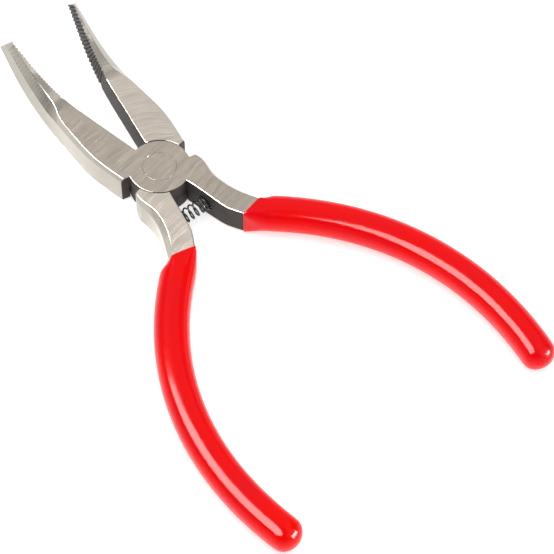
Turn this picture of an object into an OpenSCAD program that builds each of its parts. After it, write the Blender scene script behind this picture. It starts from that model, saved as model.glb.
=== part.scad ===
// Bent-nose pliers: two forged halves crossing in a riveted lap joint, a coil
// return spring between the tangs and a dipped grip on each handle.
// Origin: the pivot axis at the joint's underside. +Y runs to the jaws, +Z is up.
// Each half is drawn with the jaws closed and then swung open by open_half.

/* [Joint] */
// Angle each half is swung from closed to its rest position, degrees
open_half = 11; // [9:0.05:14]
// Thickness of the steel across the lap joint
joint_t = 7.9; // [7:0.1:9]
// Radius of the round lap plates
lap_r = 7.3; // [6.8:0.1:7.8]
// Gap around a lap plate in its seat
lap_clear = 0.2; // [0.1:0.05:0.4]
// Gap between the two lap plates
lap_gap = 0.05; // [0.02:0.01:0.1]

/* [Rivet] */
// Radius of the rivet's shank
rivet_r = 2.6; // [2:0.1:3.2]
// Radius of the rivet's flush heads
rivet_head_r = 3.9; // [3.4:0.1:4.6]
// Depth of each countersink
rivet_head_h = 1.3; // [0.8:0.1:1.8]
// Running clearance of the moving half on the rivet, radial
rivet_clear = 0.04; // [0.02:0.01:0.08]

/* [Jaws] */
// Length of the jaws along their centre line, from the pivot
jaw_len = 50.4; // [44:0.1:60]
// Width of one jaw at its heel
jaw_w = 8.6; // [7.8:0.05:9.5]
// Width of one jaw at its tip
tip_w = 1.4; // [1.2:0.05:2.2]
// Thickness of the nose at its tip
tip_t = 4.9; // [4:0.1:6.5]
// Where the nose starts to rise
bend_y = 25; // [20:0.5:28]
// Angle that the nose rises to, degrees
bend_angle = 42; // [20:1:48]
// Radius of the nose's curve
bend_r = 24; // [20:1:30]
// Gap between a jaw's face and the closing plane
face_gap = 0.05; // [0.02:0.01:0.15]
// Length of the toothed part of each jaw
teeth_len = 19; // [8:0.5:22]
// Distance from tooth to tooth
tooth_pitch = 0.95; // [0.7:0.05:1.5]
// Depth of the grooves between teeth
tooth_h = 0.32; // [0.15:0.01:0.45]

/* [Tangs and handles] */
// Where the dipped grips start, from the pivot
dip_y = 23; // [21.5:0.25:26]
// Distance of the handle's end from the pivot, along Y with the jaws closed
tail_y = 95.6; // [85:0.1:110]
// Distance of the handle's end from the middle, with the jaws closed
tail_x = 17.9; // [12:0.1:20]
// Angle of the handle away from the middle where it leaves the tang, degrees
neck_lean = 48.9; // [38:0.1:54]
// Angle of the handle back to the middle at its end, degrees
tail_lean = 22; // [12:0.5:32]
// Fullness of the handle's bow behind the tang
bow_front = 28.3; // [22:0.1:32]
// Fullness of the handle's bow near its end
bow_back = 26.7; // [20:0.1:30]
// Width of the steel bar inside a grip
bar_w = 5.8; // [5:0.1:6.2]
// Thickness of the steel bar inside a grip
bar_t = 5.2; // [4.6:0.1:5.6]

/* [Grips] */
// Width of a grip near its mouth
grip_w = 8.3; // [7.8:0.1:9.5]
// Width of a grip at its end
grip_end_w = 8; // [7.2:0.05:9]
// Thickness of a grip
grip_t = 7.45; // [7:0.05:8.5]
// Wall of the dipped coat at its mouth
mouth_wall = 0.3; // [0.2:0.05:0.5]
// Distance from the end of the steel bar to the grip's centre line end
bar_short = 3; // [1.5:0.5:6]

/* [Spring] */
// Outside diameter of the return spring
spring_d = 3.6; // [3:0.1:4.2]
// Diameter of the spring's wire
wire_d = 0.4; // [0.35:0.01:0.6]
// Number of coils
spring_turns = 7.25; // [4.25:0.5:8.25]
// Distance from the pivot to the spring's axis
spring_y = 12.4; // [11:0.1:14]
// Depth of the drilled pocket that holds each end of the spring
pocket_depth = 1; // [0.6:0.1:1.4]
// Gap between the spring and its pocket's wall
pocket_clear = 0.2; // [0.1:0.05:0.4]

/* [Hidden] */
$fn = 72;
mid_z = joint_t / 2;
steel = [0.68, 0.65, 0.6];
vinyl = [0.93, 0.05, 0.07];
past = 1;                  // how far a cut runs past the face it opens
edge_break = 0.15;         // small flat ground on the inner faces' upper edges
edge_under = 0.15;         // and on their lower edges
under = 0.25;              // size of the lower chamfers, as a share of the upper ones
per_edge = 3;              // points along each side of an eight-sided section
ring_n = 8 * per_edge;

// ---- helpers: curves through stations -------------------------------------
function mix(a, b, k) = a + (b - a) * k;
function clamp01(k) = max(0, min(1, k));
function ease(k) = let (c = clamp01(k)) c * c * (3 - 2 * c);
function step_slope(t, i, c) =
    let (a = max(i - 1, 0), b = min(i + 1, len(t) - 1)) (t[b][c] - t[a][c]) / (t[b][0] - t[a][0]);
function span_at(t, s, i = 0) = i >= len(t) - 2 || s < t[i + 1][0] ? i : span_at(t, s, i + 1);
function hermite(a, b, ma, mb, u) =
    a * (2 * u * u * u - 3 * u * u + 1) + ma * (u * u * u - 2 * u * u + u)
    + b * (3 * u * u - 2 * u * u * u) + mb * (u * u * u - u * u);
// smooth value of column c at s, through the rows of t, whose first column is s
function curve(t, s, c) =
    let (i = span_at(t, s), d = t[i + 1][0] - t[i][0], u = (s - t[i][0]) / d)
    hermite(t[i][c], t[i + 1][c], step_slope(t, i, c) * d, step_slope(t, i + 1, c) * d, u);

// ---- helpers: rings and lofts ----------------------------------------------
// corners of an eight-sided section: flat inner side at x = in, chamfered outer side at x = out
function corners(in, out, t, cw, cd) = [
    [in, -t / 2 + edge_under], [in + edge_under, -t / 2],
    [out - under * cw, -t / 2], [out, -t / 2 + under * cd],
    [out, t / 2 - cd], [out - cw, t / 2], [in + edge_break, t / 2], [in, t / 2 - edge_break]
];
// the same section with per_edge points along every side
function dense(c) = [
    for (i = [0:len(c) - 1]) for (j = [0:per_edge - 1]) mix(c[i], c[(i + 1) % len(c)], j / per_edge)
];
function spow(v, e) = sign(v) * pow(abs(v), e);
// rounded section of the given width and thickness, whose corners sharpen as n grows
function rounded(w, t, n) = [
    for (i = [0:ring_n - 1])
        let (a = 180 + 180 / 8 + 360 * i / ring_n) [w / 2 * spow(cos(a), 2 / n), t / 2 * spow(sin(a), 2 / n)]
];
// triangles between ring k and ring k + 1 of n points each
function band(n, k, turn = false) = [
    for (i = [0:n - 1])
        let (a = k * n + i, b = k * n + (i + 1) % n, c = b + n, d = a + n)
            each (turn ? [[a, b, c], [a, c, d]] : [[c, b, a], [d, c, a]])
];
// triangles from ring k's points to the point numbered hub
function fan(n, k, hub, turn = false) = [
    for (i = [0:n - 1])
        let (a = k * n + i, b = k * n + (i + 1) % n) turn ? [b, a, hub] : [a, b, hub]
];
function middle(ring) = [for (i = [0:2]) [for (q = ring) q[i]] * [for (q = ring) 1] / len(ring)];
module loft(rings) {
    n = len(rings[0]);
    last = len(rings) - 1;
    ends = [middle(rings[0]), middle(rings[last])];
    polyhedron(
        points = concat([for (r = rings) each r], ends),
        faces = concat(
            fan(n, 0, (last + 1) * n),
            [for (k = [0:last - 1]) each band(n, k)],
            fan(n, last, (last + 1) * n + 1, true)
        ),
        convexity = 8
    );
}

// ---- jaws ------------------------------------------------------------------
// centre line of the nose in the plane between the jaws: [y, z, rise angle]
bend_len = bend_r * bend_angle * PI / 180;
function nose(s) =
    s < bend_y ? [s, mid_z, 0]
    : s < bend_y + bend_len
        ? let (a = bend_angle * (s - bend_y) / bend_len)
            [bend_y + bend_r * sin(a), mid_z + bend_r * (1 - cos(a)), a]
        : let (e = s - bend_y - bend_len, a = bend_angle)
            [bend_y + bend_r * sin(a) + e * cos(a), mid_z + bend_r * (1 - cos(a)) + e * sin(a), a];
heel_y = 4.2;              // outer corner of the heel
heel_in = 0.5;             // where the heel's plane meets the closing plane
// along the jaw: [distance, width, thickness, chamfer width, chamfer depth]
jaw_rows = [
    [heel_in, jaw_w, joint_t, 0.55, 0.9],
    [11, jaw_w, joint_t, 0.6, 1],
    [15, jaw_w - 0.3, joint_t, 0.7, 1.1],
    [19.5, jaw_w - 1.2, joint_t, 0.8, 1.3],
    [27, mix(tip_w, jaw_w, 0.59), joint_t - 0.1, 0.9, 1.5],
    [31.5, mix(tip_w, jaw_w, 0.46), joint_t - 0.25, 1.9, 2],
    [38, mix(tip_w, jaw_w, 0.28), joint_t - 0.7, 1.6, 2.1],
    [jaw_len, tip_w, tip_t, 0.9, 1.7]
];
teeth_start = jaw_len - teeth_len;
teeth = floor(teeth_len / tooth_pitch);
// crest start, crest end and groove of every tooth: [distance, depth]
tooth_rows = [
    for (i = [0:teeth - 1]) let (s = teeth_start + i * tooth_pitch)
        each [[s + 0.25 * tooth_pitch, tooth_h], [s + 0.5 * tooth_pitch, 0], [s + 0.99 * tooth_pitch, 0]]
];
flat_rows = [for (s = [heel_in, 4.5, 8, 11, 13, 15, 17, 19.5, 22, 24.5, 26.5, 28.5, 30.5]) if (s < teeth_start) [s, 0]];
function jaw_ring(s, depth) =
    let (
        p = nose(s),
        in = face_gap + depth,
        lean = s == heel_in ? (heel_y - heel_in) / jaw_w : 0,
        c = corners(in, curve(jaw_rows, s, 1), curve(jaw_rows, s, 2), curve(jaw_rows, s, 3), curve(jaw_rows, s, 4))
    )
    [for (q = c) [-q[0], p[0] - q[1] * sin(p[2]) + q[0] * lean, p[1] + q[1] * cos(p[2])]];
module jaw() {
    rows = concat(flat_rows, tooth_rows, [[jaw_len, 0]]);
    loft([for (r = rows) jaw_ring(r[0], r[1])]);
}

// ---- tangs and handles -----------------------------------------------------
// inner and outer edge of the tang at each station: [station, xi, yi, xo, yo, chamfer width, chamfer depth]
neck_x = 5.9;              // middle of the tang at the dip line
neck_w = 6.5;              // width of the tang at the dip line
face_x = 1.15;             // the tang's inner face beside the spring
dip_tilt = -0.1;           // how much nearer the jaws the dip line's inner end is than its middle
tang_rows = [
    [0, 0.95, -1, 8.2, -4.1, 0.3, 0.5],
    [1, 0.95, -4.5, 8.5, -5.3, 0.5, 0.8],
    [2, 1, -6.6, 8.4, -6.8, 0.7, 1.2],
    [3, 1.1, -8.4, 7.9, -8.6, 0.9, 1.5],
    [4, 1.15, -10, 7.5, -10.2, 1.1, 1.6],
    [5, face_x, -12.5, 7.3, -12.5, 1.2, 1.6],
    [6, 1.2, -15.5, 7.45, -15.3, 1.3, 1.6],
    [7, 1.4, -19.2, 8.1, -18.7, 1.3, 1.7],
    [8, neck_x - neck_w / 2, -dip_y + dip_tilt, neck_x + neck_w / 2, -dip_y - dip_tilt, 1, 1.7]
];
dip_t = joint_t - 0.85;    // thickness of the tang at the dip line
function tang_ring(k) =
    let (
        a = [curve(tang_rows, k, 1), curve(tang_rows, k, 2)],
        b = [curve(tang_rows, k, 3), curve(tang_rows, k, 4)],
        t = mix(joint_t, dip_t, ease((k - 5) / 3)),
        w = norm(b - a),
        d = (b - a) / w,
        c = dense(corners(0, w, t, curve(tang_rows, k, 5), curve(tang_rows, k, 6)))
    )
    [for (q = c) [a[0] + d[0] * q[0], a[1] + d[1] * q[0], mid_z + q[1]]];

// centre line of the handle, from the dip line to its end
p0 = [neck_x, -dip_y];
p3 = [tail_x, -tail_y];
p1 = p0 + bow_front * [cos(neck_lean), -sin(neck_lean)];
p2 = p3 + bow_back * [sin(tail_lean), cos(tail_lean)];
function bez(u) = pow(1 - u, 3) * p0 + 3 * pow(1 - u, 2) * u * p1 + 3 * (1 - u) * u * u * p2 + pow(u, 3) * p3;
function bez_dir(u) =
    let (d = pow(1 - u, 2) * (p1 - p0) + 2 * (1 - u) * u * (p2 - p1) + u * u * (p3 - p2)) d / norm(d);
settle = 0.075;            // share of the handle over which the dip line turns square to it
swell = 0.04;              // share of the handle over which the coat swells to its full size
dip_dir = let (a = tang_rows[8]) [a[3] - a[1], a[4] - a[2]] / norm([a[3] - a[1], a[4] - a[2]]);
function across(u) =
    let (t = bez_dir(u), sq = [-t[1], t[0]], d = mix(dip_dir, sq, ease(u / settle))) d / norm(d);
function place(u, sect) =
    let (p = bez(u), d = across(u)) [for (q = sect) [p[0] + d[0] * q[0], p[1] + d[1] * q[0], mid_z + q[1]]];
// the bar's section is the tang's at the dip line and turns round over the first part
function bar_section(u) =
    let (
        k = ease(u / settle),
        w0 = norm([tang_rows[8][3] - tang_rows[8][1], tang_rows[8][4] - tang_rows[8][2]]),
        a = [for (q = dense(corners(0, w0, dip_t, tang_rows[8][5], tang_rows[8][6]))) [q[0] - w0 / 2, q[1]]],
        b = rounded(bar_w, bar_t, 3)
    )
    [for (i = [0:ring_n - 1]) mix(a[i], b[i], k)];
function grip_section(u) =
    let (
        k = sin(90 * clamp01(u / swell)),
        steel_ring = bar_section(u),
        r = rounded(mix(grip_w, grip_end_w, u), grip_t, 2.4)
    )
    // the coat is never thinner than mouth_wall over the steel's corners
    [for (i = [0:ring_n - 1])
        let (q = steel_ring[i], least = norm(q) + mouth_wall, f = mix(q * least / norm(q), r[i], k))
            f * max(1, least / norm(f))];
handle_len = norm(p1 - p0) + norm(p2 - p1) + norm(p3 - p2);
bar_end = 1 - bar_short / handle_len;
mouth_us = concat([for (k = [0, 0.12, 0.3, 0.55, 1]) k * swell], [mix(swell, settle, 0.5), settle]);
body_us = [for (i = [1:18]) mix(settle, bar_end, i / 18)];
bar_us = concat(mouth_us, body_us);
// the smaller ring that blunts the bar's end
blunt = 0.8;
function bar_tail() =
    [for (q = place(bar_end, rounded(bar_w, bar_t, 3) * 0.6)) q + concat(bez_dir(1) * blunt, [0])];
module bar() {
    loft(concat(
        [for (k = [0:0.5:8]) tang_ring(k)],
        [for (u = bar_us) if (u > 0) place(u, bar_section(u))],
        [bar_tail()]
    ));
}
// the round end of a grip: rings that close in from the last full section
cap_round = 0.85;          // length of the round end, as a share of its radius
cap_angles = [18, 36, 54, 70, 82];
function grip_cap() =
    let (r = grip_end_w / 2, base = grip_section(1), t = bez_dir(1))
    [for (a = cap_angles)
        [for (q = place(1, base * cos(a))) q + concat(t * r * cap_round * sin(a), [0])]];
module grip() {
    outer = concat([for (u = bar_us) place(u, grip_section(u))], [place(1, grip_section(1))], grip_cap());
    inner = [for (u = bar_us) place(u, bar_section(u))];
    n = ring_n;
    no = len(outer);
    ni = len(inner);
    // outer rings come first, then the inner ones from the mouth inwards
    all_rings = concat(outer, inner, [bar_tail()]);
    start = no * n;
    hubs = [middle(outer[no - 1]), middle(bar_tail())];
    polyhedron(
        points = concat([for (r = all_rings) each r], hubs),
        faces = concat(
            [for (k = [0:no - 2]) each band(n, k)],
            fan(n, no - 1, (no + ni + 1) * n, true),
            [for (k = [no:no + ni - 1]) each band(n, k, true)],
            fan(n, no + ni, (no + ni + 1) * n + 1),
            [for (i = [0:n - 1]) each
                [[i, (i + 1) % n, start + (i + 1) % n], [i, start + (i + 1) % n, start + i]]]
        ),
        convexity = 10
    );
}

// ---- the forged half, drawn as the upper one -------------------------------
// spring ends: the pockets are drilled along X with the jaws at rest
face_at_spring = tang_face(spring_y);
function tang_face(y) = face_x * cos(open_half) + y * sin(open_half);
spring_seat = face_at_spring + pocket_depth;
module pocket() {
    rotate([0, 0, -open_half])
        translate([face_at_spring - past, -spring_y, mid_z])
            rotate([0, 90, 0]) cylinder(r = spring_d / 2 + pocket_clear, h = past + pocket_depth);
}
// shape of the rivet, grown by a clearance
module rivet_body(grow) {
    rotate_extrude() polygon([
        [0, 0], [rivet_head_r + grow, 0], [rivet_r + grow, rivet_head_h],
        [rivet_r + grow, joint_t - rivet_head_h], [rivet_head_r + grow, joint_t], [0, joint_t]
    ]);
}
module half(clear) {
    difference() {
        union() {
            jaw();
            bar();
            translate([0, 0, mid_z + lap_gap / 2]) cylinder(r = lap_r, h = mid_z - lap_gap / 2);
        }
        // seat of the other half's lap plate
        translate([0, 0, -past]) cylinder(r = lap_r + lap_clear, h = past + mid_z + lap_gap / 2);
        rivet_body(clear);
        pocket();
    }
}
// the other half is the mirror image, with its lap plate below
module other_half(clear) {
    mirror([1, 0, 0]) difference() {
        union() {
            jaw();
            bar();
            cylinder(r = lap_r, h = mid_z - lap_gap / 2);
        }
        translate([0, 0, mid_z - lap_gap / 2]) cylinder(r = lap_r + lap_clear, h = mid_z + past);
        rivet_body(clear);
        pocket();
    }
}

// ---- nodes -----------------------------------------------------------------
module upper_half() {
    color(steel) rotate([0, 0, open_half]) half(rivet_clear);
}
module lower_half() {
    color(steel) rotate([0, 0, -open_half]) other_half(0);
}
module pivot_rivet() {
    color(steel) rivet_body(0);
}
module upper_grip() {
    color(vinyl) rotate([0, 0, open_half]) grip();
}
module lower_grip() {
    color(vinyl) rotate([0, 0, -open_half]) mirror([1, 0, 0]) grip();
}
// coil spring along X; its dead end coils lie flat in the pockets
coil_steps = 14;
wire_sides = 8;
end_play = 0.05;
spring_half = spring_seat - end_play - wire_d / 2;
function coil_x(k) =
    let (a = clamp01(k / spring_turns), flat = 0.75 / spring_turns)
    mix(-spring_half, spring_half, clamp01((a - flat * 0.6) / (1 - 1.2 * flat)));
module return_spring() {
    n = round(spring_turns * coil_steps);
    r = (spring_d - wire_d) / 2;
    color([0.1, 0.1, 0.1]) loft([
        for (i = [0:n])
            let (k = i / coil_steps, a = 360 * k + 200, x = coil_x(k))
            [for (j = [0:wire_sides - 1])
                let (b = -360 * j / wire_sides, q = r + wire_d / 2 * cos(b))
                [x + wire_d / 2 * sin(b), -spring_y + q * cos(a), mid_z + q * sin(a)]]
    ]);
}

upper_half();
lower_half();
pivot_rivet();
return_spring();
upper_grip();
lower_grip();
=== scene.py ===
"""Looks of the bent-nose pliers: ground and oxidised steel halves, a coil spring
between the tangs and glossy dipped grips, on a white studio floor."""

import math

import bmesh
import bpy
from mathutils import Euler, Matrix, Vector


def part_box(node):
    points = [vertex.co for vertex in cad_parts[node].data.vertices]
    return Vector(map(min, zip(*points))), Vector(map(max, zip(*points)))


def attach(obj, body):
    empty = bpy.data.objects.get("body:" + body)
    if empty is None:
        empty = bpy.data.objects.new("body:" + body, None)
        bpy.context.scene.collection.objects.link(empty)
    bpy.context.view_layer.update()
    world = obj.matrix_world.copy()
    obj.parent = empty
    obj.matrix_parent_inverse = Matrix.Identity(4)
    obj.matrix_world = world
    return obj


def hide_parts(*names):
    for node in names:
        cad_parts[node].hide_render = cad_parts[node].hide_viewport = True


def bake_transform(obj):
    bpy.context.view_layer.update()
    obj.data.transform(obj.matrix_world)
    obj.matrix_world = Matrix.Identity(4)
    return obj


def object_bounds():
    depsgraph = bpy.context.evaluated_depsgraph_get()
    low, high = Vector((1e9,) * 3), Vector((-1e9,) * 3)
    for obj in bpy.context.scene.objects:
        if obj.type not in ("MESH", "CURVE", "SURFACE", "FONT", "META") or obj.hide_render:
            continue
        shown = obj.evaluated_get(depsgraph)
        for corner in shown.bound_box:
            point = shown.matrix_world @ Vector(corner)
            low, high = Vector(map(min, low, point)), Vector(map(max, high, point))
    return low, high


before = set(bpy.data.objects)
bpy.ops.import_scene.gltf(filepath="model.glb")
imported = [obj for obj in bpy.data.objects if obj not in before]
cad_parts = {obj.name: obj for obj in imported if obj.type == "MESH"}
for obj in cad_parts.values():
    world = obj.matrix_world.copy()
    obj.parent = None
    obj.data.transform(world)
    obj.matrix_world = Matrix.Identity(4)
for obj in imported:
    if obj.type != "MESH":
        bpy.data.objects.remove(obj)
cad_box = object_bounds()
MM = 0.001

# ---- how the pliers are laid out, as the CAD part has them -------------------
OPEN_HALF = 11.0            # degrees each half is swung from closed
JOINT_T = 7.9 * MM          # thickness across the lap joint
MID = JOINT_T / 2           # height of the plane that the lap plates meet in
LAP_R = 7.3 * MM            # radius of a lap plate
RIVET_SEAT_R = 4.2 * MM     # just past the edge of the hole that the rivet's head fills
HEEL_Y = 7 * MM             # how far the stepped heels reach along a half from the pivot
TEETH_FROM = 31.7 * MM      # where the teeth start along a jaw
SPRING_D = 3.6 * MM         # across the spring's coils, from outside to outside
SPRING_Y = 12.4 * MM        # from the pivot back to the spring's centre line
SPRING_TURNS = 7.25
CLOSED_TURNS = 0.75         # nearly flat turns at each end of the spring
WIRE_D = 0.4 * MM
WIRE_STEPS = 32             # steps the wire takes round one turn

# side of the closing plane each half's jaw is on, and the way it is swung
SWING = {"upper_half": 1, "lower_half": -1}

# ---- how its edges are finished ------------------------------------------------
FLAT_FOLD = math.radians(0.4)       # faces less folded than this are one flat face
EDGE_FOLD = math.radians(16)        # a half's edge is rounded if it is folded more than this
RIM_FOLD = math.radians(20)         # the same for the rivet's
CREASE_FOLD = math.radians(32)      # an edge still shows as a crease if it is folded more than this
EDGE_ROUND = 0.07 * MM              # how far from an edge its rounding starts, on a half
RIM_ROUND = 0.03 * MM               # the same on the rivet
SHORT_EDGE = 0.15 * MM              # shorter edges are left unrounded


# ---- node helpers -------------------------------------------------------------
def new_material(name):
    """A material of one plain Principled shader; gives the material, its tree and the shader."""
    mat = bpy.data.materials.new(name)
    mat.use_nodes = True
    tree = mat.node_tree
    tree.nodes.clear()
    out = tree.nodes.new("ShaderNodeOutputMaterial")
    shader = tree.nodes.new("ShaderNodeBsdfPrincipled")
    tree.links.new(shader.outputs[0], out.inputs["Surface"])
    return mat, tree, shader


def feed(tree, node, inputs):
    """Links each of a node's inputs to the socket given for it, or sets it to the value given."""
    for key, value in inputs.items():
        if isinstance(value, bpy.types.NodeSocket):
            tree.links.new(value, node.inputs[key])
        else:
            node.inputs[key].default_value = value
    return node


def add(tree, kind, inputs=None, **settings):
    """A node of that kind, with its settings, and a value or another node's socket for its inputs."""
    node = tree.nodes.new("ShaderNode" + kind)
    for key, value in settings.items():
        setattr(node, key, value)
    return feed(tree, node, inputs or {})


def blend_colour(tree, factor, a, b):
    """Mixes two colours; each end is a socket or a colour."""
    return add(tree, "Mix", {0: factor, 6: a, 7: b}, data_type="RGBA").outputs[2]


def ramp(tree, source, low, high, to_low=0.0, to_high=1.0):
    """source taken smoothly from low..high to to_low..to_high."""
    node = add(tree, "MapRange", {0: source, 1: low, 2: high, 3: to_low, 4: to_high},
               interpolation_type="SMOOTHSTEP")
    return node.outputs[0]


def maths(tree, operation, *terms):
    """The sum, product or other operation on one or two sockets or numbers."""
    return add(tree, "Math", dict(enumerate(terms)), operation=operation).outputs[0]


def object_place(tree):
    """Where a point of the piece is, in metres."""
    return add(tree, "TexCoord").outputs["Object"]


def use_group(tree, shared, inputs):
    """One of the shared finishes below, placed in a material with its own values."""
    node = tree.nodes.new("ShaderNodeGroup")
    node.node_tree = shared
    return feed(tree, node, inputs)


def group(name, inputs, outputs):
    """An empty shader node group; its inputs are (name, kind, default), its outputs (name, kind)."""
    tree = bpy.data.node_groups.new(name, "ShaderNodeTree")
    for label, kind, default in inputs:
        socket = tree.interface.new_socket(name=label, in_out="INPUT", socket_type="NodeSocket" + kind)
        if default is not None:
            socket.default_value = default
    for label, kind in outputs:
        tree.interface.new_socket(name=label, in_out="OUTPUT", socket_type="NodeSocket" + kind)
    return tree, tree.nodes.new("NodeGroupInput"), tree.nodes.new("NodeGroupOutput")


# ---- shared finishes ------------------------------------------------------------
def grinding_marks():
    """Long fine scratches across the piece, wavy as a hand-held belt leaves them."""
    tree, given, out = group(
        "grinding_marks",
        [("Vector", "Vector", None), ("Across", "Float", 120.0), ("Along", "Float", 2400.0),
         ("Wander", "Float", 0.0016), ("Bow", "Float", 0.0)],
        [("Marks", "Float"), ("Streaks", "Float")],
    )
    drift = add(tree, "TexNoise", {"Vector": given.outputs["Vector"], "Scale": 170.0, "Detail": 1.0})
    push = maths(tree, "MULTIPLY", maths(tree, "SUBTRACT", drift.outputs[0], 0.5), given.outputs["Wander"])
    place = add(tree, "SeparateXYZ", {0: given.outputs["Vector"]})
    square = maths(tree, "MULTIPLY", place.outputs[0], place.outputs[0])
    bowed = maths(tree, "MULTIPLY", square, given.outputs["Bow"])
    along = maths(tree, "ADD", maths(tree, "ADD", place.outputs[1], push), bowed)
    x = maths(tree, "MULTIPLY", place.outputs[0], given.outputs["Across"])
    y = maths(tree, "MULTIPLY", along, given.outputs["Along"])
    z = maths(tree, "MULTIPLY", place.outputs[2], given.outputs["Across"])
    grain = add(tree, "CombineXYZ", {0: x, 1: y, 2: z}).outputs[0]
    fine = add(tree, "TexNoise", {"Vector": grain, "Scale": 1.0, "Detail": 4.0, "Roughness": 0.65})
    wide = add(tree, "VectorMath", {0: grain, 1: (0.6, 0.22, 0.22)}, operation="MULTIPLY")
    broad = add(tree, "TexNoise", {"Vector": wide.outputs[0], "Scale": 1.0, "Detail": 2.0})
    feed(tree, out, {"Marks": fine.outputs[0], "Streaks": broad.outputs[0]})
    return tree


def smudges():
    """Slow drifts of tone, as handling leaves on bare metal and dipping leaves in vinyl."""
    tree, given, out = group("smudges", [("Vector", "Vector", None), ("Size", "Float", 180.0)],
                             [("Drift", "Float")])
    slow = add(tree, "TexNoise", {"Vector": given.outputs["Vector"], "Scale": given.outputs["Size"],
                                  "Detail": 3.0, "Roughness": 0.55})
    feed(tree, out, {"Drift": slow.outputs[0]})
    return tree


MARKS = grinding_marks()
SMUDGES = smudges()


# ---- materials --------------------------------------------------------------------
def shade(tone, factor):
    """A tone made lighter or darker, as a colour with its alpha."""
    return (*[min(1, c * factor) for c in tone], 1)


def bright_steel(name, turn, tone, marking, scratch, bow=0.0):
    """Bare forged steel: belt-ground where it is flat, polished on the chamfers and nose.

    turn swings the marks square to the half, marking is their contrast, scratch their depth
    and bow how much they curve.
    """
    mat, tree, shader = new_material(name)
    place = object_place(tree)
    turned = add(tree, "Mapping", {"Vector": place, "Rotation": (0, 0, turn)})
    marks = use_group(tree, MARKS, {"Vector": turned.outputs[0], "Bow": bow})
    drift = use_group(tree, SMUDGES, {"Vector": place, "Size": 140.0})
    facing = add(tree, "SeparateXYZ", {0: add(tree, "NewGeometry").outputs["Normal"]})
    level = ramp(tree, maths(tree, "ABSOLUTE", facing.outputs[2]), 0.985, 0.998)

    ground = blend_colour(tree, ramp(tree, marks.outputs["Marks"], 0.25, 0.75),
                          shade(tone, 1 - marking), shade(tone, 1 + marking))
    streaked = blend_colour(tree, ramp(tree, marks.outputs["Streaks"], 0.35, 0.7, 0, marking * 2),
                            ground, shade(tone, 1.25))
    browner = (*[c * part for c, part in zip(tone, (0.93, 0.9, 0.86))], 1)
    drifted = blend_colour(tree, ramp(tree, drift.outputs["Drift"], 0.4, 0.7, 0, 0.3), streaked, browner)
    polished = (0.36, 0.335, 0.295, 1)
    worn = add(tree, "MapRange", {0: level, 1: 0.0, 2: 1.0, 3: 0.16, 4: 0.2})
    grooved = ramp(tree, marks.outputs["Marks"], 0.3, 0.7, -0.04, 0.05)

    dents = add(tree, "TexNoise", {"Vector": place, "Scale": 420.0, "Detail": 1.0})
    hammered = add(tree, "Bump", {"Height": dents.outputs[0], "Strength": 0.14, "Distance": 0.0003})
    scratched = add(tree, "Bump", {"Height": marks.outputs["Marks"], "Normal": hammered.outputs[0],
                                   "Strength": scratch, "Distance": 0.00006})
    feed(tree, shader, {
        "Base Color": blend_colour(tree, level, polished, drifted),
        "Roughness": maths(tree, "ADD", worn.outputs[0], grooved),
        "Metallic": 1.0,
        "Normal": scratched.outputs[0],
    })
    return mat


def oxide_and_heel_shade():
    """Dark, dull scale left on the faces the belt doesn't reach; where it is put on the stepped heels it is
    also painted shade.
    """
    mat, tree, shader = new_material("dark_oxide_and_heel_shade")
    place = object_place(tree)
    drift = use_group(tree, SMUDGES, {"Vector": place, "Size": 260.0})
    grain = add(tree, "TexNoise", {"Vector": place, "Scale": 5200.0, "Detail": 3.0})
    base = blend_colour(tree, ramp(tree, drift.outputs["Drift"], 0.3, 0.7), (0.024, 0.018, 0.016, 1),
                        (0.04, 0.032, 0.028, 1))
    speckle = ramp(tree, grain.outputs[0], 0.45, 0.7, 0, 0.5)
    bump = add(tree, "Bump", {"Height": grain.outputs[0], "Strength": 0.3, "Distance": 0.00005})
    feed(tree, shader, {
        "Base Color": blend_colour(tree, speckle, base, (0.09, 0.077, 0.07, 1)),
        "Roughness": ramp(tree, grain.outputs[0], 0.3, 0.7, 0.5, 0.68),
        "Metallic": 0.1,
        "Specular IOR Level": 0.3,
        "Normal": bump.outputs[0],
    })
    return mat


def dipped_vinyl():
    """Thick glossy red coat, with the slow ripple a dipped layer sets with."""
    mat, tree, shader = new_material("dipped_vinyl")
    place = object_place(tree)
    drift = use_group(tree, SMUDGES, {"Vector": place, "Size": 55.0}).outputs["Drift"]
    ripple = add(tree, "TexNoise", {"Vector": place, "Scale": 190.0, "Detail": 1.0})
    bump = add(tree, "Bump", {"Height": ripple.outputs[0], "Strength": 0.12, "Distance": 0.0004})
    feed(tree, shader, {
        "Base Color": blend_colour(tree, ramp(tree, drift, 0.35, 0.65), (0.86, 0.0008, 0.001, 1),
                                   (0.78, 0.0008, 0.006, 1)),
        "Roughness": ramp(tree, drift, 0.3, 0.7, 0.1, 0.16),
        "Specular Tint": (1, 0.22, 0.21, 1),
        "Normal": bump.outputs[0],
    })
    return mat


def spring_black():
    """Oil-blackened spring wire."""
    mat, tree, shader = new_material("spring_black")
    grain = add(tree, "TexNoise", {"Vector": object_place(tree), "Scale": 3800.0, "Detail": 2.0}).outputs[0]
    feed(tree, shader, {
        "Base Color": blend_colour(tree, ramp(tree, grain, 0.4, 0.7), (0.006, 0.006, 0.007, 1),
                                   (0.02, 0.018, 0.018, 1)),
        "Roughness": ramp(tree, grain, 0.3, 0.7, 0.28, 0.42),
        "Metallic": 0.5,
    })
    return mat


def studio_paper():
    """The white floor, slightly mottled and faintly lit from within."""
    mat, tree, shader = new_material("studio_floor")
    mottle = add(tree, "TexNoise", {"Vector": object_place(tree), "Scale": 40.0, "Detail": 3.0})
    feed(tree, shader, {
        "Base Color": blend_colour(tree, mottle.outputs[0], (0.9, 0.9, 0.9, 1), (0.94, 0.94, 0.94, 1)),
        "Roughness": 0.9,
        "Specular IOR Level": 0.1,
        "Emission Color": (1, 1, 1, 1),
        "Emission Strength": 0.5,
    })
    return mat


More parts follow.
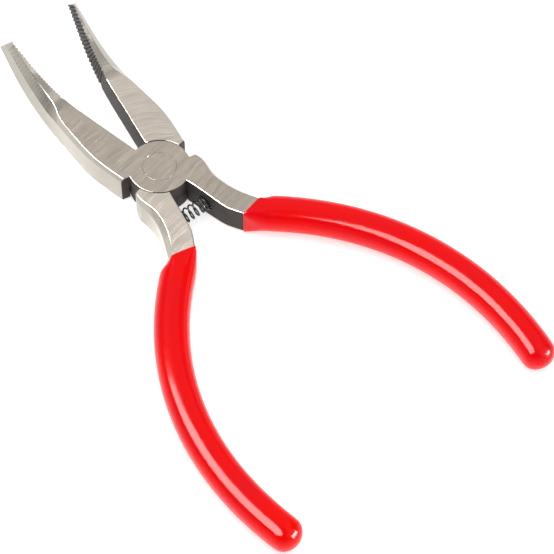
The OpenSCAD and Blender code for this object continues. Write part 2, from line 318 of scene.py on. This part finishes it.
STEEL = {
    "upper_half": bright_steel("ground_steel_upper", math.radians(-OPEN_HALF), (0.435, 0.383, 0.327),
                               marking=0.03, scratch=0.03),
    "lower_half": bright_steel("ground_steel_lower", math.radians(OPEN_HALF), (0.57, 0.51, 0.445),
                               marking=0.08, scratch=0.11, bow=45.0),
}
OXIDE_AND_HEEL_SHADE = oxide_and_heel_shade()
VINYL = dipped_vinyl()
SPRING_BLACK = spring_black()


# ---- pieces --------------------------------------------------------------------------
def new_piece(name, bm, *materials):
    """A piece with that mesh; a CAD mesh's stored normals go, since its edges have changed."""
    mesh = bpy.data.meshes.new(name)
    bm.to_mesh(mesh)
    bm.free()
    if "custom_normal" in mesh.attributes:
        mesh.attributes.remove(mesh.attributes["custom_normal"])
    piece = bpy.data.objects.new(name, mesh)
    bpy.context.scene.collection.objects.link(piece)
    for mat in materials:
        mesh.materials.append(mat)
    return piece


def copied(node):
    """A merged copy of a CAD node's mesh."""
    bm = bmesh.new()
    bm.from_mesh(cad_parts[node].data)
    bmesh.ops.remove_doubles(bm, verts=bm.verts, dist=1e-6)
    return bm


def fold(edge):
    """How far the two faces at an edge are folded from flat."""
    return edge.calc_face_angle(0) if len(edge.link_faces) == 2 else 0


def whole_faces(bm):
    """Joins the triangles of each flat face."""
    bmesh.ops.dissolve_limit(bm, angle_limit=FLAT_FOLD, verts=bm.verts, edges=bm.edges)


def round_edges(bm, edges, offset, clamp_overlap):
    """Rounds those edges and shades the mesh smooth."""
    bmesh.ops.bevel(bm, geom=edges, offset=offset, offset_type="OFFSET", segments=2, profile=0.5,
                    affect="EDGES", material=-1, clamp_overlap=clamp_overlap)
    for face in bm.faces:
        face.smooth = True


def closed_place(node, co):
    """A point of a half, turned back to where it is with the jaws closed.

    The lower half's is mirrored too, so that one rule serves both halves.
    """
    p = Matrix.Rotation(math.radians(-OPEN_HALF * SWING[node]), 3, "Z") @ co
    return Vector((p.x * SWING[node], p.y, p.z))


def toothed(node, edge):
    """Whether an edge is in or just behind the tooth grooves, which are too fine to round."""
    p = closed_place(node, (edge.verts[0].co + edge.verts[1].co) / 2)
    return p.y > TEETH_FROM - 3 * MM and abs(p.x) < 0.6 * MM


def rivet_seat(edge):
    """Whether an edge is in the hole that the rivet fills, where rounding would open a gap."""
    return all(math.hypot(v.co.x, v.co.y) < RIVET_SEAT_R for v in edge.verts)


def gets_scale_and_heel_shade(node, face):
    """Whether a face of a half gets the dark scale: one that the grinding belt doesn't reach, and also each
    stepped heel, where the dark is painted shade as well as scale.
    """
    n = closed_place(node, face.normal)
    p = closed_place(node, face.calc_center_median())
    upright = abs(n.z) < 0.5
    inner_jaw = p.y > 0 and n.x > 0.7
    teeth = p.y > TEETH_FROM - 1 * MM and abs(p.x) < 0.5 * MM
    inner_tang = p.y < 0 and n.x < -0.7
    plate_rim = upright and math.hypot(p.x, p.y) < LAP_R + 0.4 * MM
    plate_seat = abs(n.z) > 0.9 and abs(p.z - MID) < 1 * MM
    # the stepped heels in the joint's notches: the dark scale put there is also painted shade
    heel_scale_and_shade = upright and abs(n.y) > 0.5 and abs(p.y) < HEEL_Y
    return inner_jaw or teeth or inner_tang or plate_rim or plate_seat or heel_scale_and_shade


def forged_half(node, body):
    """A half with rounded edges, bright where it is ground and dark where it isn't; the dark on its stepped
    heels is painted shade as well as scale.
    """
    bm = copied(node)
    whole_faces(bm)
    bm.normal_update()
    rounded = [e for e in bm.edges if fold(e) > EDGE_FOLD and not toothed(node, e) and not rivet_seat(e)
               and e.calc_length() > SHORT_EDGE]
    round_edges(bm, rounded, EDGE_ROUND, clamp_overlap=False)
    for face in bm.faces:
        # index 1 is the dark scale, which on the stepped heels is also painted shade
        face.material_index = 1 if gets_scale_and_heel_shade(node, face) else 0
    for edge in bm.edges:
        edge.smooth = fold(edge) < CREASE_FOLD
    piece = new_piece(node + "_steel", bm, STEEL[node], OXIDE_AND_HEEL_SHADE)
    piece.modifiers.new("even shading", "WEIGHTED_NORMAL").keep_sharp = True
    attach(piece, body)
    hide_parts(node)


def dipped_grip(node, body):
    """A grip's coat, its triangles paired into quads and made round."""
    bm = copied(node)
    bmesh.ops.join_triangles(bm, faces=bm.faces, angle_face_threshold=math.radians(60),
                             angle_shape_threshold=math.radians(120))
    for face in bm.faces:
        face.smooth = True
    piece = new_piece(node + "_vinyl", bm, VINYL)
    soft = piece.modifiers.new("set smooth", "SUBSURF")
    soft.levels = soft.render_levels = 2
    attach(piece, body)
    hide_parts(node)


def coil_spring():
    """Round wire wound along X: closed end coils and open turns between them."""
    low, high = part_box("return_spring")
    centre = (low.x + WIRE_D / 2, -SPRING_Y, MID)
    creep = WIRE_D * 0.5 / (CLOSED_TURNS * WIRE_STEPS)
    open_turns = SPRING_TURNS - 2 * CLOSED_TURNS
    reach = high.x - low.x - WIRE_D
    stride = (reach - 2 * creep * CLOSED_TURNS * WIRE_STEPS) / (open_turns * WIRE_STEPS)
    bm = bmesh.new()
    ring = bmesh.ops.create_circle(bm, segments=14, radius=WIRE_D / 2, cap_ends=True)["verts"]
    coil_r = (SPRING_D - WIRE_D) / 2
    wire_end = Matrix.Translation(centre) @ Matrix.Rotation(math.radians(200), 4, "X")
    bmesh.ops.transform(bm, verts=ring, matrix=wire_end @ Matrix.Translation((0, coil_r, 0)))
    geom = list(ring) + list(bm.edges)
    for turns, shift in ((CLOSED_TURNS, creep), (open_turns, stride), (CLOSED_TURNS, creep)):
        wound = bmesh.ops.spin(bm, geom=geom, cent=(0, -SPRING_Y, MID), axis=(1, 0, 0), dvec=(shift, 0, 0),
                               angle=2 * math.pi * turns, steps=round(turns * WIRE_STEPS),
                               use_merge=False, use_duplicate=False)
        geom = [g for g in wound["geom_last"] if not isinstance(g, bmesh.types.BMFace)]
    bmesh.ops.remove_doubles(bm, verts=bm.verts, dist=1e-7)
    bmesh.ops.holes_fill(bm, edges=bm.edges, sides=20)
    bmesh.ops.recalc_face_normals(bm, faces=bm.faces)
    for face in bm.faces:
        face.smooth = True
    piece = new_piece("return_spring_coil", bm, SPRING_BLACK)
    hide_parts("return_spring")
    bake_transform(piece)


def rivet():
    """The flush rivet, its rims just broken so that each head shows as a ring."""
    bm = copied("pivot_rivet")
    whole_faces(bm)
    rims = [e for e in bm.edges if fold(e) > RIM_FOLD]
    round_edges(bm, rims, RIM_ROUND, clamp_overlap=True)
    piece = new_piece("rivet_peened", bm, STEEL["upper_half"])
    piece.modifiers.new("even shading", "WEIGHTED_NORMAL").keep_sharp = True
    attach(piece, "lower")
    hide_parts("pivot_rivet")


forged_half("upper_half", "upper")
forged_half("lower_half", "lower")
rivet()
dipped_grip("upper_grip", "upper")
dipped_grip("lower_grip", "lower")
coil_spring()


# ---- studio ------------------------------------------------------------------------------
FLOOR_GAP = 0.2 * MM        # the floor is this far under the part
AIM = Vector((0, -20 * MM, MID))    # where the lights point, just behind the joint

# boxes seen only in the gloss: direction from the aim, width and height in metres, radiance
BOX_DISTANCE = 0.9
REFLECTED_BOXES = {
    "key_box": ((-0.40, 0.25, 0.88), (0.84, 0.56), 36.0),
    "far_side_box": ((0.343, 0.46, 0.82), (0.8, 0.8), 0.55),
    "top_box": ((0.33, -0.16, 0.93), (0.6, 0.4), 0.7),
    "nose_box": ((0.34, -0.71, 0.62), (0.6, 0.6), 1.5),
    "low_front_box": ((0.48, -0.84, 0.26), (0.36, 0.36), 60.0),
}


def floor():
    """A wide floor just under the part."""
    bm = bmesh.new()
    bmesh.ops.create_grid(bm, x_segments=1, y_segments=1, size=3)
    bmesh.ops.translate(bm, verts=bm.verts, vec=(0, 0, cad_box[0][2] - FLOOR_GAP))
    new_piece("studio_floor", bm, studio_paper())


def walls():
    """Pale walls round a dark ceiling."""
    world = bpy.data.worlds.new("studio")
    bpy.context.scene.world = world
    world.use_nodes = True
    tree = world.node_tree
    upwards = add(tree, "SeparateXYZ", {0: add(tree, "TexCoord").outputs["Generated"]})
    strength = ramp(tree, upwards.outputs[2], 0.1, 0.6, 1.15, 0.22)
    feed(tree, tree.nodes["Background"], {0: (1, 1, 1, 1), 1: strength})


def softbox(name, direction, distance, size, radiance, in_gloss):
    """A rectangular light pointed at the aim, which either shows in the gloss or lights the rest."""
    data = bpy.data.lights.new(name, "AREA")
    data.shape = "RECTANGLE"
    data.size, data.size_y = size
    data.energy = radiance * math.pi * size[0] * size[1]
    lamp = bpy.data.objects.new(name, data)
    bpy.context.scene.collection.objects.link(lamp)
    way = Vector(direction).normalized()
    lamp.location = AIM + way * distance
    lamp.rotation_euler = way.to_track_quat("Z", "Y").to_euler()
    lamp.visible_glossy = in_gloss
    lamp.visible_diffuse = not in_gloss


floor()
walls()
softbox("overhead_fill", (0.1, 0.1, 1), 1.0, (2.0, 2.0), 1.35, in_gloss=False)
for box_name, (direction, size, radiance) in REFLECTED_BOXES.items():
    softbox(box_name, direction, BOX_DISTANCE, size, radiance, in_gloss=True)


# ---- camera ------------------------------------------------------------------------------
CAMERA_AT = (-0.2062, -0.2988, 0.5159)
CAMERA_TILT = 33.144        # degrees up from looking straight down
CAMERA_TURN = -38.867       # degrees about Z
CAMERA_LENS = 176.5

camera_data = bpy.data.cameras.new("studio_camera")
camera = bpy.data.objects.new("studio_camera", camera_data)
bpy.context.scene.collection.objects.link(camera)
camera.location = CAMERA_AT
camera.rotation_euler = Euler((math.radians(CAMERA_TILT), 0, math.radians(CAMERA_TURN)))
camera_data.lens = CAMERA_LENS
camera_data.clip_start = 0.01
bpy.context.scene.camera = camera
bpy.context.scene.view_settings.view_transform = "Standard"
